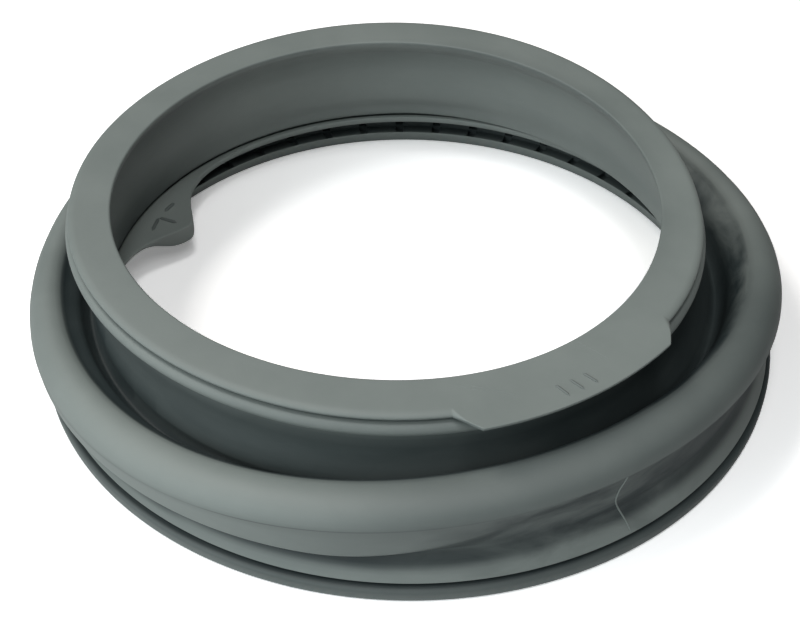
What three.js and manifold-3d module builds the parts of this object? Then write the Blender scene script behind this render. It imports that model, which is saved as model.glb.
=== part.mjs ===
// Door seal of a front-loading washing machine, one moulded rubber piece.
// Lengths are millimetres and +Z is up. The seal lies on its base ring, the end that clamps to the tub.
// Azimuths are degrees from +X, counter-clockwise seen from above.
import * as THREE from 'three';
import { mergeVertices } from 'three/addons/utils/BufferGeometryUtils.js';
import Module from 'manifold-3d';

// Base ring, which the tub's rim carries
const baseRadius = 205;
const baseFootRadius = 175.5;
const baseMouthRadius = 171.2;
const baseHeight = 6.8;
const baseCorner = 1.4;
const recessFloor = 8.8;
const recessCeiling = 20.8;
const recessRadius = 180;
const mouthCorner = 0.8;

// Slots in the recess's back wall, where the tub's rim beads seat
const slotCount = 44;
const slotWidth = 5;
const slotDepth = 6;
const slotEndClearance = 0.8;
const firstSlotAzimuth = 2.2;

// Outside of the base: a narrow groove, the ridge and the clamp band's channel
const grooveRadius = 198.5;
const grooveTop = 9.1;
const ridgeRadius = 202.2;
const ridgeTop = 18.2;
const ridgeCorner = 1.2;
const channelRadius = 194.6;
const channelFloor = 21.5;

// Lip over the recess, and the locating lug that grows out of it
const lipRadius = 165.2;
const lipTop = 24.5;
const lipWidth = 3.2;
const lipCorner = 0.7;
const lipFoot = 1;
const shelfTop = 23.4;
const lugReach = 28.3;
const lugAzimuth = 161.6;
const lugNearSpread = 11;
const lugFarSpread = 10.3;
const lugNearPower = 1.6;
const lugFarPower = 1.8;
const lugThickness = 2.3;
const lugSkirtDepth = 8.3;
const lugSkirtAzimuth = 164;
const lugSkirtSpread = 5.6;
const lugSkirtPower = 3;
const lugSkirtWall = 3.4;
const lugSkirtFoot = 1.2;
const lugBodyStart = 147;
const lugBodyEnd = 190;
const lugBodyFade = 6;

// Bellows: the free-standing bulge, whose form varies round the ring as the rubber sags
const wall = 2.8;
const throatWall = 3.9;
const bulgeRadius = { mean: 204.4, lean: 2.8, leanAzimuth: 133, oval: 2.5, ovalAzimuth: 28 };
const bulgeHeight = { mean: 39.5, lean: 5.4, leanAzimuth: -26.6, oval: 6.1, ovalAzimuth: 120.5 };
const crestHalfWidth = { mean: 10.4, lean: 3.2, leanAzimuth: 276 };
const crestRise = { mean: 11.7, lean: 1.7, leanAzimuth: 111 };
const tuckAzimuth = 325;
const tuckInnerSpan = 26;
const tuckOuterSpan = 63;
const swellReach = 0.9;
const swellDrop = 0.55;
const tuckReach = 0.8;
const tuckLift = 0.6;
const tuckDrop = 0.08;
const valleyRadius = 173.2;
const valleyHeight = { mean: 29.2, lean: 2.4, leanAzimuth: 0 };
const valleyHalfWidth = 2.8;
const valleyRise = 2.2;
const foldOffset = 0.3;

// Neck and flange, which stand a little off the base ring's axis and tilt with it
const flangeOffset = { x: -11, y: -1.3 };
const flangeTilt = { x: -0.010, y: 0.0376 };
const flangeHeight = 86.5;
const flangeInnerRadius = { mean: 144.3, trefoil: 1.1, trefoilAzimuth: -47 };
const flangeOuterRadius = {
  mean: 167.8, lean: 1.2, leanAzimuth: 54, oval: 1.9, ovalAzimuth: -78, trefoil: 2.5, trefoilAzimuth: -48,
};
const flangeMargin = 4.1;
const flangeThickness = 3;
const flangeRootThickness = 3.7;
const edgeCorner = 0.8;
const edgeLevel = 0.6;
const innerCorner = 1;
const beadProud = 2.2;
const beadHeight = 78;
const beadHalfHeight = 3.4;
const beadGrooveDepth = 4;
const beadGrooveWidth = 1;
const neckInset = 4.2;
const neckFootRadius = 169.8;
const neckTop = 71;
const neckFoot = 38;
const neckFootOffset = 0.4;

// Inside of the neck: the flange's mouth, the shoulder under it, and the wall at drops below the neck's top
const mouthHeight = 3.8;
const mouthUndercut = 1.1;
const shoulderReach = 6;
const shoulderDepth = 8.4;
const neckWalls = [
  { drop: 0, thickness: 6.6 },
  { drop: 9, thickness: 3.7 },
  { drop: 20.5, thickness: 3 },
  { drop: 32, thickness: 3.8 },
];

// Pull tab, a flat tongue on the flange's outer edge
const tabRadius = 180.6;
const tabStart = 281;
const tabRiseEnd = 286;
const tabFallStart = 318;
const tabEnd = 322;
const tabThickness = 2.2;
const tabCorner = 0.4;
const tabSlackStart = 303;
const tabSlack = 4;

// Fineness of the model
const coarseStep = 7.2;
const fineStep = 2.4;
const crestAngles = [30, 60, 90, 120, 150];
const beadAngles = [-70, -15, 45];
const marginAngles = [0, 30, 90];
const tuckSteps = [0.25, 0.5, 0.75];
const creaseStep = 0.95;

const RAD = Math.PI / 180;
const cosDeg = (degrees) => Math.cos(degrees * RAD);
const sinDeg = (degrees) => Math.sin(degrees * RAD);

// A size that varies round the ring: its mean, a lean to one side, an oval and a three-sided wave
function around(size, azimuth) {
  const { mean, lean = 0, leanAzimuth = 0, oval = 0, ovalAzimuth = 0 } = size;
  const { trefoil = 0, trefoilAzimuth = 0 } = size;
  const leaning = lean * cosDeg(azimuth - leanAzimuth);
  const ovalling = oval * cosDeg(2 * (azimuth - ovalAzimuth));
  return mean + leaning + ovalling + trefoil * cosDeg(3 * (azimuth - trefoilAzimuth));
}

// Shortest signed turn from one azimuth to another
function turn(from, to) {
  return THREE.MathUtils.euclideanModulo(to - from + 180, 360) - 180;
}

// 1 inside a span of azimuths, 0 outside it, with a smooth fade at both ends
function span(azimuth, start, end, fade) {
  const intoStart = turn(start, azimuth);
  const beforeEnd = turn(azimuth, end);
  return THREE.MathUtils.smoothstep(intoStart, 0, fade) * THREE.MathUtils.smoothstep(beforeEnd, 0, fade);
}

// How far the lug's edge stands in from the lip
function lugProud(azimuth) {
  const away = turn(lugAzimuth, azimuth);
  const spread = away < 0 ? lugNearSpread : lugFarSpread;
  const power = away < 0 ? lugNearPower : lugFarPower;
  return lugReach * Math.exp(-Math.pow(Math.abs(away) / spread, power));
}

// How far the skirt along the lug's edge hangs down
function lugSkirt(azimuth) {
  const away = Math.abs(turn(lugSkirtAzimuth, azimuth)) / lugSkirtSpread;
  return lugSkirtDepth * Math.exp(-Math.pow(away, lugSkirtPower));
}

// How far the tab's edge stands out of the flange's rim
function tabProud(azimuth, rim) {
  const rise = THREE.MathUtils.clamp(turn(tabStart, azimuth) / (tabRiseEnd - tabStart), 0, 1);
  const fall = THREE.MathUtils.clamp(turn(azimuth, tabEnd) / (tabEnd - tabFallStart), 0, 1);
  const slack = tabSlack * Math.max(0, turn(tabSlackStart, azimuth)) / (tabFallStart - tabSlackStart);
  return (tabRadius - slack - rim) * Math.min(rise, fall);
}

// 1 where the bulge's lower wall is drawn in to a crease, 0 where it swells over the channel
function tuckShare(azimuth) {
  const away = Math.abs(turn(tuckAzimuth, azimuth));
  return 1 - THREE.MathUtils.smoothstep(away, tuckInnerSpan, tuckOuterSpan);
}

// A section point: radius and height, and the share of the flange's offset that it takes
const point = (r, z, share = 0) => ({ r, z, share });

function baseOutside() {
  return [
    point(baseFootRadius, 0),
    point(baseRadius - baseCorner, 0),
    point(baseRadius, baseCorner),
    point(baseRadius, baseHeight - baseCorner),
    point(baseRadius - baseCorner, baseHeight),
    point(grooveRadius, baseHeight),
    point(grooveRadius, grooveTop),
    point(ridgeRadius - ridgeCorner, grooveTop),
    point(ridgeRadius, grooveTop + ridgeCorner),
    point(ridgeRadius, ridgeTop - ridgeCorner),
    point(ridgeRadius - ridgeCorner, ridgeTop),
    point(channelRadius + ridgeCorner, ridgeTop + ridgeCorner),
    point(channelRadius, channelFloor),
  ];
}

// Outer face of the bulge, from the channel over the crest to the valley's bottom and the neck's foot
function bulgeOutside(azimuth) {
  const equator = new THREE.Vector2(around(bulgeRadius, azimuth), around(bulgeHeight, azimuth));
  const start = new THREE.Vector2(channelRadius, channelFloor + wall);
  const across = equator.x - start.x;
  const up = equator.y - start.y;
  const tuck = tuckShare(azimuth);
  const drop = THREE.MathUtils.lerp(swellDrop, tuckDrop, tuck);
  const lowerWall = new THREE.CubicBezierCurve(
    start,
    new THREE.Vector2(start.x + swellReach * across * (1 - tuck), start.y + tuckLift * up * tuck),
    new THREE.Vector2(equator.x - tuckReach * across * tuck, equator.y - up * drop),
    equator,
  );
  const points = [point(start.x, start.y)];
  for (const share of [...tuckSteps, creaseStep]) {
    const at = lowerWall.getPoint(share);
    points.push(point(at.x, at.y));
  }
  points.push(point(equator.x, equator.y));
  const halfWidth = around(crestHalfWidth, azimuth);
  const rise = around(crestRise, azimuth);
  for (const angle of crestAngles) {
    const r = equator.x - halfWidth * (1 - cosDeg(angle));
    points.push(point(r, equator.y + rise * sinDeg(angle)));
  }
  const bottom = around(valleyHeight, azimuth);
  const brink = points[points.length - 1];
  const valleyCentre = valleyRadius + foldOffset * flangeOffset.x * cosDeg(azimuth);
  const flankRadius = (brink.r + valleyCentre + valleyHalfWidth) / 2;
  points.push(point(flankRadius - valleyHalfWidth / 2, (brink.z + bottom + valleyHalfWidth) / 2));
  points.push(point(valleyRadius + valleyHalfWidth, bottom + valleyRise, foldOffset));
  points.push(point(valleyRadius, bottom, foldOffset));
  points.push(point(valleyRadius - valleyHalfWidth, bottom + valleyHalfWidth, foldOffset));
  return points;
}

// The same wall's hollow side: the outer points moved through the wall, along the section's normal.
// The crease's own point is left out, so that the hollow side stays round behind it.
function bulgeInside(outside) {
  const crease = tuckSteps.length + 1;
  const kept = outside.filter((_, i) => i !== crease);
  const inside = [];
  for (let i = 1; i < kept.length; i += 1) {
    const before = kept[i - 1];
    const after = kept[Math.min(i + 1, kept.length - 1)];
    const along = new THREE.Vector2(after.r - before.r, after.z - before.z).normalize();
    const here = kept[i];
    inside.push(point(here.r - along.y * wall, here.z + along.x * wall, here.share));
  }
  return inside.reverse();
}

// Share of the flange's offset that the neck takes at a height
function neckShare(z) {
  return Math.min(1, THREE.MathUtils.mapLinear(z, neckFoot, beadHeight, neckFootOffset, 1));
}

// Outer radius of the neck, which flares towards its foot
function neckRadius(azimuth, z) {
  const top = around(flangeOuterRadius, azimuth) - neckInset;
  const down = (neckTop - z) / (neckTop - neckFoot);
  return top + (neckFootRadius - top) * down * down;
}

// Outside of the neck and the bead under the flange
function neckOutside(azimuth) {
  const rim = around(flangeOuterRadius, azimuth);
  const neckLine = [neckFoot, (neckTop + neckFoot) / 2, neckTop].map((z) => {
    return point(neckRadius(azimuth, z), z, neckShare(z));
  });
  const bead = beadAngles.map((angle) => {
    const r = rim + beadProud - beadHalfHeight * (1 - cosDeg(angle));
    return point(r, beadHeight + beadHalfHeight * sinDeg(angle), 1);
  });
  const grooveLevel = flangeHeight - flangeRootThickness - beadGrooveWidth;
  return [...neckLine, ...bead, point(rim - beadGrooveDepth, grooveLevel, 1)];
}

// The flange, with a rounded margin where it ends and square corners where it runs out into the tab
function flange(azimuth) {
  const rim = around(flangeOuterRadius, azimuth);
  const proud = tabProud(azimuth, rim);
  const onTab = proud > 0;
  const edge = rim + proud;
  const mouth = around(flangeInnerRadius, azimuth);
  const thickness = onTab ? tabThickness : flangeThickness;
  const margin = onTab ? tabCorner : flangeMargin;
  const marginLine = marginAngles.map((angle) => {
    const z = flangeHeight - edgeLevel * thickness * (1 - sinDeg(angle));
    return point(edge - margin * (1 - cosDeg(angle)), z, 1);
  });
  return [
    point(rim - beadGrooveDepth, flangeHeight - flangeRootThickness, 1),
    point(edge - edgeCorner, flangeHeight - thickness, 1),
    ...marginLine,
    point(mouth + innerCorner, flangeHeight, 1),
    point(mouth, flangeHeight - innerCorner, 1),
  ];
}

// Inside of the neck, which bellies out under the flange and runs down to the fold
function neckInside(azimuth) {
  const mouth = around(flangeInnerRadius, azimuth);
  const shoulder = flangeHeight - shoulderDepth;
  const wallLine = neckWalls.map(({ drop, thickness }) => {
    const z = neckTop - drop;
    return point(neckRadius(azimuth, z) - thickness, z, neckShare(z));
  });
  return [
    point(mouth + mouthUndercut, flangeHeight - mouthHeight, 1),
    point(mouth + shoulderReach, shoulder, neckShare(shoulder)),
    ...wallLine,
  ];
}

// Lip, recess and the base ring's mouth, seen from inside the seal
function baseInside(azimuth) {
  const inner = lipRadius - lugProud(azimuth);
  const body = span(azimuth, lugBodyStart, lugBodyEnd, lugBodyFade);
  const underside = THREE.MathUtils.lerp(recessCeiling, lipTop - lugThickness, body);
  const edgeFoot = underside - lugSkirt(azimuth);
  return [
    point(channelRadius - throatWall, shelfTop),
    point(lipRadius + lipWidth + lipFoot, shelfTop),
    point(lipRadius + lipWidth, lipTop),
    point(inner + lipCorner, lipTop),
    point(inner, lipTop - lipCorner),
    point(inner, edgeFoot + lipCorner),
    point(inner + lipCorner, edgeFoot),
    point(inner + lugSkirtWall, edgeFoot),
    point(inner + lugSkirtWall + lugSkirtFoot, underside),
    point(recessRadius, recessCeiling),
    point(recessRadius, recessFloor),
    point(baseMouthRadius + mouthCorner, recessFloor),
    point(baseMouthRadius, recessFloor - mouthCorner),
  ];
}

function sectionAt(azimuth) {
  const outside = bulgeOutside(azimuth);
  return [
    ...baseOutside(),
    ...outside,
    ...neckOutside(azimuth),
    ...flange(azimuth),
    ...neckInside(azimuth),
    ...bulgeInside(outside),
    ...baseInside(azimuth),
  ];
}

// Places a section point in space. The flange's offset and tilt come in over the neck's height.
function place(sectionPoint, azimuth) {
  const x = sectionPoint.r * cosDeg(azimuth);
  const y = sectionPoint.r * sinDeg(azimuth);
  const tilt = Math.max(0, (sectionPoint.share - foldOffset) / (1 - foldOffset));
  return new THREE.Vector3(
    x + sectionPoint.share * flangeOffset.x,
    y + sectionPoint.share * flangeOffset.y,
    sectionPoint.z + tilt * (flangeTilt.x * x + flangeTilt.y * y),
  );
}

// Azimuths of the section lines: an even spread, closer round the lug, with lines on the tab's corners
function sectionAzimuths() {
  const lines = new Set([tabStart, tabRiseEnd, tabSlackStart, tabFallStart, tabEnd]);
  const clearOfTab = (azimuth) => [...lines].every((line) => Math.abs(turn(line, azimuth)) > fineStep / 2);
  const fineStart = lugBodyStart - 2 * lugBodyFade;
  for (let azimuth = fineStart; azimuth < lugBodyEnd; azimuth += fineStep) {
    lines.add(azimuth);
  }
  for (let azimuth = 0; azimuth < 360; azimuth += coarseStep) {
    if (clearOfTab(azimuth)) {
      lines.add(azimuth);
    }
  }
  return [...lines].sort((a, b) => a - b);
}

// The ring: a lathe gives the closed skin, and each of its section lines takes its own azimuth and form
function ringGeometry() {
  const azimuths = sectionAzimuths();
  const nominal = sectionAt(azimuths[0]);
  const profile = nominal.map(({ r, z }) => new THREE.Vector2(r, z));
  profile.push(profile[0].clone());
  const ring = new THREE.LatheGeometry(profile, azimuths.length);
  const positions = ring.attributes.position;
  for (let line = 0; line <= azimuths.length; line += 1) {
    const azimuth = azimuths[line % azimuths.length];
    const section = sectionAt(azimuth);
    for (let i = 0; i < profile.length; i += 1) {
      const at = place(section[i % section.length], azimuth);
      positions.setXYZ(line * profile.length + i, at.x, at.y, at.z);
    }
  }
  return ring;
}

// One slot's cutter, a box that reaches from the recess into its back wall
function slotCutter(azimuth) {
  const height = recessCeiling - recessFloor - 2 * slotEndClearance;
  const lead = slotDepth / 2;
  const cutter = new THREE.BoxGeometry(slotDepth + lead, slotWidth, height);
  cutter.translate(recessRadius + (slotDepth - lead) / 2, 0, (recessCeiling + recessFloor) / 2);
  cutter.rotateZ(azimuth * RAD);
  return cutter;
}

const wasm = await Module();
wasm.setup();

function toSolid(geometry) {
  const bare = geometry.clone();
  bare.deleteAttribute('normal');
  bare.deleteAttribute('uv');
  const merged = mergeVertices(bare, 1e-4);
  const vertProperties = new Float32Array(merged.attributes.position.array);
  const triVerts = new Uint32Array(merged.index.array);
  const solid = new wasm.Manifold(new wasm.Mesh({ numProp: 3, vertProperties, triVerts }));
  if (solid.volume() > 0) {
    return solid;
  }
  triVerts.reverse();
  return new wasm.Manifold(new wasm.Mesh({ numProp: 3, vertProperties, triVerts }));
}

function toGeometry(solid) {
  const mesh = solid.getMesh();
  const geometry = new THREE.BufferGeometry();
  geometry.setAttribute('position', new THREE.BufferAttribute(new Float32Array(mesh.vertProperties), 3));
  geometry.setIndex(new THREE.BufferAttribute(new Uint32Array(mesh.triVerts), 1));
  geometry.computeVertexNormals();
  return geometry;
}

function sealSolid() {
  let solid = toSolid(ringGeometry());
  for (let i = 0; i < slotCount; i += 1) {
    const azimuth = firstSlotAzimuth + (i * 360) / slotCount;
    solid = solid.subtract(toSolid(slotCutter(azimuth)));
  }
  return solid;
}

const rubber = new THREE.MeshStandardMaterial({ color: 0x6f7676, roughness: 0.72, metalness: 0 });
const doorSeal = new THREE.Mesh(toGeometry(sealSolid()), rubber);
doorSeal.name = 'door_seal';

// The origin is under the middle of the seal's box, on the surface that it lies on
doorSeal.geometry.computeBoundingBox();
const middle = doorSeal.geometry.boundingBox.getCenter(new THREE.Vector3());
doorSeal.position.set(-middle.x, -middle.y, 0);

const group = new THREE.Group();
group.add(doorSeal);
export default group;
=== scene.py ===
# Door seal of a front-loading washing machine, one moulded grey rubber ring lying on its tub end.
# The seal's sizes are millimetres, as on a drawing, and MM turns them into metres.
# Azimuths are degrees from +X, counter-clockwise seen from above, about the base ring's axis.
import math

import bmesh
import bpy
import numpy as np
from mathutils import Matrix, Quaternion, Vector


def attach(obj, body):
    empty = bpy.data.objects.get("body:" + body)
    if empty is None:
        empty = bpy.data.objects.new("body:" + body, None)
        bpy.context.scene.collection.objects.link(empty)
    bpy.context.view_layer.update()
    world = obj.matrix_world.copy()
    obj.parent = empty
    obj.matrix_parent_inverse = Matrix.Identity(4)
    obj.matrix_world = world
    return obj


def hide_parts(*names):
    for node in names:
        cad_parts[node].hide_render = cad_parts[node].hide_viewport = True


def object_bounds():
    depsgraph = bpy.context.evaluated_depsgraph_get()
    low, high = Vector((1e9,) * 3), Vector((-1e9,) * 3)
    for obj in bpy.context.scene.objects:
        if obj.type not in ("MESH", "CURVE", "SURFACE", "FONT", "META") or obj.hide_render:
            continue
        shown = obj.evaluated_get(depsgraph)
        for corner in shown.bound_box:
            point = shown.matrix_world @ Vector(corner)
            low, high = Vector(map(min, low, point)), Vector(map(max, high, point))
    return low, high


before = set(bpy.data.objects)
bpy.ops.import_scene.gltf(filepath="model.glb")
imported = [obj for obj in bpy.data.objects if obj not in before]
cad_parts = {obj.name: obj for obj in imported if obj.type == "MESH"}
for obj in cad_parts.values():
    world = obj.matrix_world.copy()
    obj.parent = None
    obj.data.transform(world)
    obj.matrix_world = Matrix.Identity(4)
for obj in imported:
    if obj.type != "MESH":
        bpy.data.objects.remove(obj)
cad_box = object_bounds()

MM = 0.001
TURN = 360.0

# Small roundings: a fine moulded edge, and the most of a side that a rounding may take
FINE_EDGE = 0.5
MOST_CUT = 0.45

# Base ring
BASE_RADIUS = 205.0
BASE_FOOT_RADIUS = 175.5
BASE_MOUTH_RADIUS = 171.2
BASE_HEIGHT = 6.8
BASE_TOP_RISE = 0.4
BASE_ROUNDING = 2.4
FOOT_ROUNDING = 1.3
MOUTH_ROUNDING = 1.0

# Recess for the tub's rim, the slots in its back wall and the notches that they cut in its floor
RECESS_FLOOR = 8.8
RECESS_CEILING = 20.8
RECESS_RADIUS = 180.0
RECESS_EDGE = 0.3
SLOT_COUNT = 44
SLOT_WIDTH = 5.0
SLOT_DEPTH = 6.0
SLOT_END = 0.8
SLOT_EDGE = 0.22
SLOT_END_SLOPE = 0.08
FIRST_SLOT = 2.2
NOTCH_DEPTH = 2.6
NOTCH_END = 172.6
NOTCH_EDGE = 0.1

# Outside of the base: groove, skirt and the clamp band's channel
GROOVE_RADIUS = 198.5
GROOVE_TOP = 9.1
SKIRT_RADIUS = 202.3
SKIRT_EDGE_RISE = 0.1
SKIRT_ROUNDING = 0.6
SKIRT_RUN = ((202.0, 9.9), (200.3, 12.6), (197.4, 17.2), (195.4, 21.3), (194.6, 24.0))
CHANNEL_RADIUS = 194.6
CHANNEL_FLOOR = 21.5
CHANNEL_ROUNDING = 0.9

# Lip over the recess, and the shelf behind it
LIP_RADIUS = 165.2
LIP_TOP = 24.5
LIP_WIDTH = 3.2
LIP_STEP_ROUNDING = 0.6
LIP_EDGE_ROUNDING = 1.2
LIP_FACE_MARGINS = (0.8, 0.9)
SHELF_TOP = 23.4
SHELF_END = 1.6
SHELF_ROUNDING = 1.0
THROAT_WALL = 3.9

# Locating lug: reach, azimuths it spans and the skirt that hangs from its edge
LUG_REACH = 28.3
LUG_AZIMUTH = 161.6
LUG_SPREADS = (11.0, 10.3)
LUG_POWERS = (1.6, 1.8)
LUG_THICKNESS = 2.3
LUG_BODY = (147.0, 190.0, 6.0)
LUG_SKIRT = {"depth": 8.3, "azimuth": 164.0, "spread": 5.6, "power": 3.0, "wall": 3.4, "slope": 1.2}
LUG_SKIRT_ROUNDING = 0.8

# Bellows. A size that waves round the ring is its mean, then three waves, each with its azimuth:
# a lean with one high side, an oval with two and a trefoil with three
WALL = 2.8
BULGE_RADIUS = (204.4, 2.8, 133.0, 2.5, 28.0, 0.0, 0.0)
BULGE_HEIGHT = (39.5, 5.4, -26.6, 6.1, 120.5, 0.0, 0.0)
CREST_HALF_WIDTH = (10.4, 3.2, 276.0, 0.0, 0.0, 0.0, 0.0)
CREST_RISE = (11.7, 1.7, 111.0, 0.0, 0.0, 0.0, 0.0)
CREST_STEP = 14
CREST_END = 126
CREST_BRINK = 150
BROW_INSET = 0.2
BROW_DROOP = 0.7
BROW_TILT = 0.07
BROW_ROUNDING = 2.2
SEAM_MARGIN = 0.5
SEAM_PROUD = 0.1
SEAM_ANGLE = 3
HOLLOW_STEPS = (1, 4, 8)
CHANNEL_TOP = CHANNEL_FLOOR + WALL

# Crease on the front right, where the bulge's lower wall is drawn in.
# The handles of its curve are shares of the wall's width and height.
TUCK_AZIMUTH = 325.0
TUCK_SPAN = (26.0, 68.0)
TUCK_OUT = 0.8
TUCK_UP = 0.6
TUCK_OVERHANG = 0.08

# Valley between the bulge and the neck
VALLEY_HEIGHT = (29.2, 2.4, 0.0, 0.0, 0.0, 0.0, 0.0)
VALLEY_RADIUS = 173.2
VALLEY_HALF_WIDTH = 2.8
VALLEY_RISE = 2.2
FOLD_OFFSET = 0.3

# Flange, which stands off the base ring's axis and tilts, and the bead under it
FLANGE_OFFSET = (-11.0, -1.3)
FLANGE_TILT = (-0.010, 0.0376)
FLANGE_HEIGHT = 86.5
FLANGE_INNER_RADIUS = (144.3, 0.0, 0.0, 0.0, 0.0, 1.1, -47.0)
FLANGE_OUTER_RADIUS = (167.8, 1.2, 54.0, 1.9, -78.0, 2.5, -48.0)
FLANGE_FLAT = {"azimuth": 300.0, "spread": 30.0, "depth": 3.0}
FLANGE_MARGIN = 4.1
FLANGE_THICKNESS = 3.0
FLANGE_ROOT = 3.7
FLANGE_UNDERCUT = 0.5
FLANGE_UNDERCUT_ROUNDING = 0.4
FLANGE_MOUTH_ROUNDING = 1.6
FLANGE_FACE_MARGIN = 1.5
EDGE_LEVEL = 0.6
BEAD_PROUD = 2.2
BEAD_HEIGHT = 78.0
BEAD_HALF_HEIGHT = 3.4
BEAD_GROOVE_DEPTH = 4.0
BEAD_GROOVE_ROUNDING = 0.8

# Neck
NECK_INSET = 4.2
NECK_FOOT_RADIUS = 169.8
NECK_TOP = 71.0
NECK_FOOT = 38.0
NECK_FOOT_OFFSET = 0.4
NECK_ROUNDING = 3.0
# Thickness of the neck's wall, by drop from its top
NECK_WALLS = ((0.0, 6.6), (9.0, 3.7), (20.5, 3.0), (32.0, 3.6))
MOUTH_HEIGHT = 3.8
MOUTH_FLARE = 1.1
SHOULDER_DROP = 8.4
SHOULDER_SET = 6.0

# Foot of the neck's inside, which leans in on the right
FOLD_FOOT_RADIUS = 168.7
FOLD_FOOT_HEIGHT = 25.2
FOLD_LEAN = 12.0
FOLD_LEAN_POWER = 1.3
FOLD_TOE_RISE = 1.5
FOLD_ROUNDING = 0.9
# How far the wall stands out from that foot: all the way down, half way to it and at its toe
FOLD_WALL_GAPS = (0.6, 0.1, -0.3)

# Pull tab: azimuths about the base ring's axis between which its edge rises and falls
TAB_RADIUS = 177.4
TAB_START = 280.7
TAB_RISE_END = 284.3
TAB_FALL_START = 318.0
TAB_END = 322.6
TAB_THICKNESS = 2.2
TAB_CORNER = 0.5
TAB_BLEND = 5.0

# Fineness of the skin
PITCH_COLUMNS = 12
CROWDED_STEP = 0.15
SHARP_ANGLE = 50.0
THREAD_SIDES = 6
WELD_DISTANCE = 1e-6

# Flash lines down the front right, as heights and azimuths
FLASH_LINE = (
    (49.4, 299.2),
    (47.5, 299.9),
    (43.0, 300.2),
    (36.0, 299.6),
    (29.0, 299.4),
    (23.0, 300.0),
    (18.0, 300.6),
    (13.0, 301.1),
    (10.2, 301.2),
)
FLASH_RADIUS = 0.42
FLASH_BLOOM = 1.0
BASE_FLASH = ((5.0, 301.0), (3.4, 301.1), (1.4, 301.2))
BASE_FLASH_RADIUS = 0.25
BASE_FLASH_BLOOM = 0.7

# Fine pale rub marks on the flange: radius and azimuth of their ends, about the flange's own axis
RUB_MARKS = (
    ((152.0, 284.8), (164.0, 291.6)),
    ((150.0, 282.4), (158.0, 287.0)),
    ((147.0, 306.8), (166.0, 308.5)),
)
RUB_MARK_RADIUS = 0.12
RUB_MARK_BLOOM = 1.0

# Raised strokes on the pull tab: azimuths, and radii of their ends, about the flange's own axis
TAB_STROKES = ((297.6, 298.4), (300.2, 301.0), (302.8, 303.6))
TAB_STROKE_ENDS = (164.5, 173.0)
TAB_STROKE_RADIUS = 0.7
TAB_STROKE_BLOOM = 0.6

# Raised strokes on the lug, as places about the base ring's axis
LUG_STROKES = (
    ((-150.4, 48.1), (-138.7, 43.2)),
    ((-150.4, 48.1), (-152.3, 35.1)),
    ((-148.1, 54.4), (-143.5, 63.6)),
)
LUG_STROKE_RADIUS = 1.2
# The lug's strokes are darker than the lip: painted shade for the shadows along their sides
LUG_STROKE_PAINTED_SHADE = 0.5

# Rubber in two pale tones, and a dark tone that painted shade mixes towards and that also darkens the base
# ring's side
PALE_RUBBER = ((0.200, 0.230, 0.218, 1), (0.236, 0.266, 0.252, 1))
DARK_RUBBER = (0.020, 0.031, 0.033, 1)

# Paleness of the rubber by stretch of the section, with painted light and shade: 1 is palest, 0 is darkest.
# The channel, seam, hollow, shelf, under and recess values are painted shade in the crease, on the parting
# line's ridge, in hollows and recesses and under the lip and lug; the mouth's full paleness is painted
# light on a band that lies in shade
PLAIN_BLOOM = 0.8
BLOOM_AND_SHADE = {
    "channel": 0.05,
    "seam": 0.4,
    "hollow": 0.0,
    "shelf": 0.3,
    "flange": 0.85,
    "lip": 1.0,
    "under": 0.2,
    "recess": 0.2,
    "mouth": 1.0,
}

# Painted light and shade round the ring: start, end and fade of a span, and the change. Paler spans are
# painted light and darker spans painted shade; the parting line's darker span paints the shading line of
# its small ridge
PAINTED_LIGHT_SPANS = {
    "bulge": (
        (258.0, 356.0, 18.0, -0.26),
        (200.0, 264.0, 20.0, 0.2),
        (150.0, 205.0, 20.0, -0.08),
        (318.0, 12.0, 18.0, -0.14),
    ),
    "brow": ((200.0, 264.0, 20.0, 0.2),),
    "channel": ((235.0, 300.0, 20.0, 0.2),),
    "parting line": ((238.0, 350.0, 12.0, -0.4),),
}

# Flange's face: a slight lean that makes it paler towards the right and darker towards the left, and
# painted shade on its inner edge on the right, which dims the highlight on that rounding
FACE_LEAN = {"change": 0.09, "azimuth": -20.0}
FACE_EDGE = {"change": -0.3, "azimuth": 25.0, "reach": (0.2, 0.8), "width": 1.8, "fade": 0.8}

# Neck's inside: painted light in a paler belt between heights, and painted shade on its left side
INSIDE_BELT = {"change": 0.2, "foot": (34.0, 50.0), "top": (58.0, 74.0)}
INSIDE_LEFT = {"change": -0.42, "azimuth": 190.0, "reach": (0.4, 1.0)}

# Valley and neck: painted shade, nearly dark, with painted light a little paler on the front left; the
# bulge's flank is painted shade too, paler on the right away from the valley's bottom
VALLEY_PAINTED_SHADE = 0.07
VALLEY_LEFT = {"change": 0.16, "azimuth": 240.0, "reach": (0.3, 1.0)}
FLANK_PAINTED_SHADE = 0.03
FLANK_RIGHT = {"change": 0.42, "azimuth": -5.0, "out": (5.0, 14.0)}

# Base ring: its side is darker rubber, with painted shade that makes it darker still on the right; its top
# face and the groove get painted shadow from the skirt
BASE_SIDE = {"bloom_and_shade": 0.4, "change": -0.2, "from": 290.0, "fade": 30.0, "in": (2.6, 0.6)}

# Skirt: a pale band along its foot, painted light where it is lit, and painted shadow above it, where the
# bulge overhangs
BAND_FOOT = 14.6
BAND_DIP = {"drop": 1.8, "before": 244.0, "fade": 14.0}
BAND_FADE = 1.0
BAND_FADE_TUCKED = 3.0
BAND_FULL = 0.3
BAND_PAINTED_LIGHT = 0.95
BAND_PAINTED_LIGHT_TUCKED = 0.79
SKIRT_PAINTED_SHADOW = 0.05
SKIRT_TUCK = {"change": 0.13, "until": 303.0, "fade": 20.0}

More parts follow.
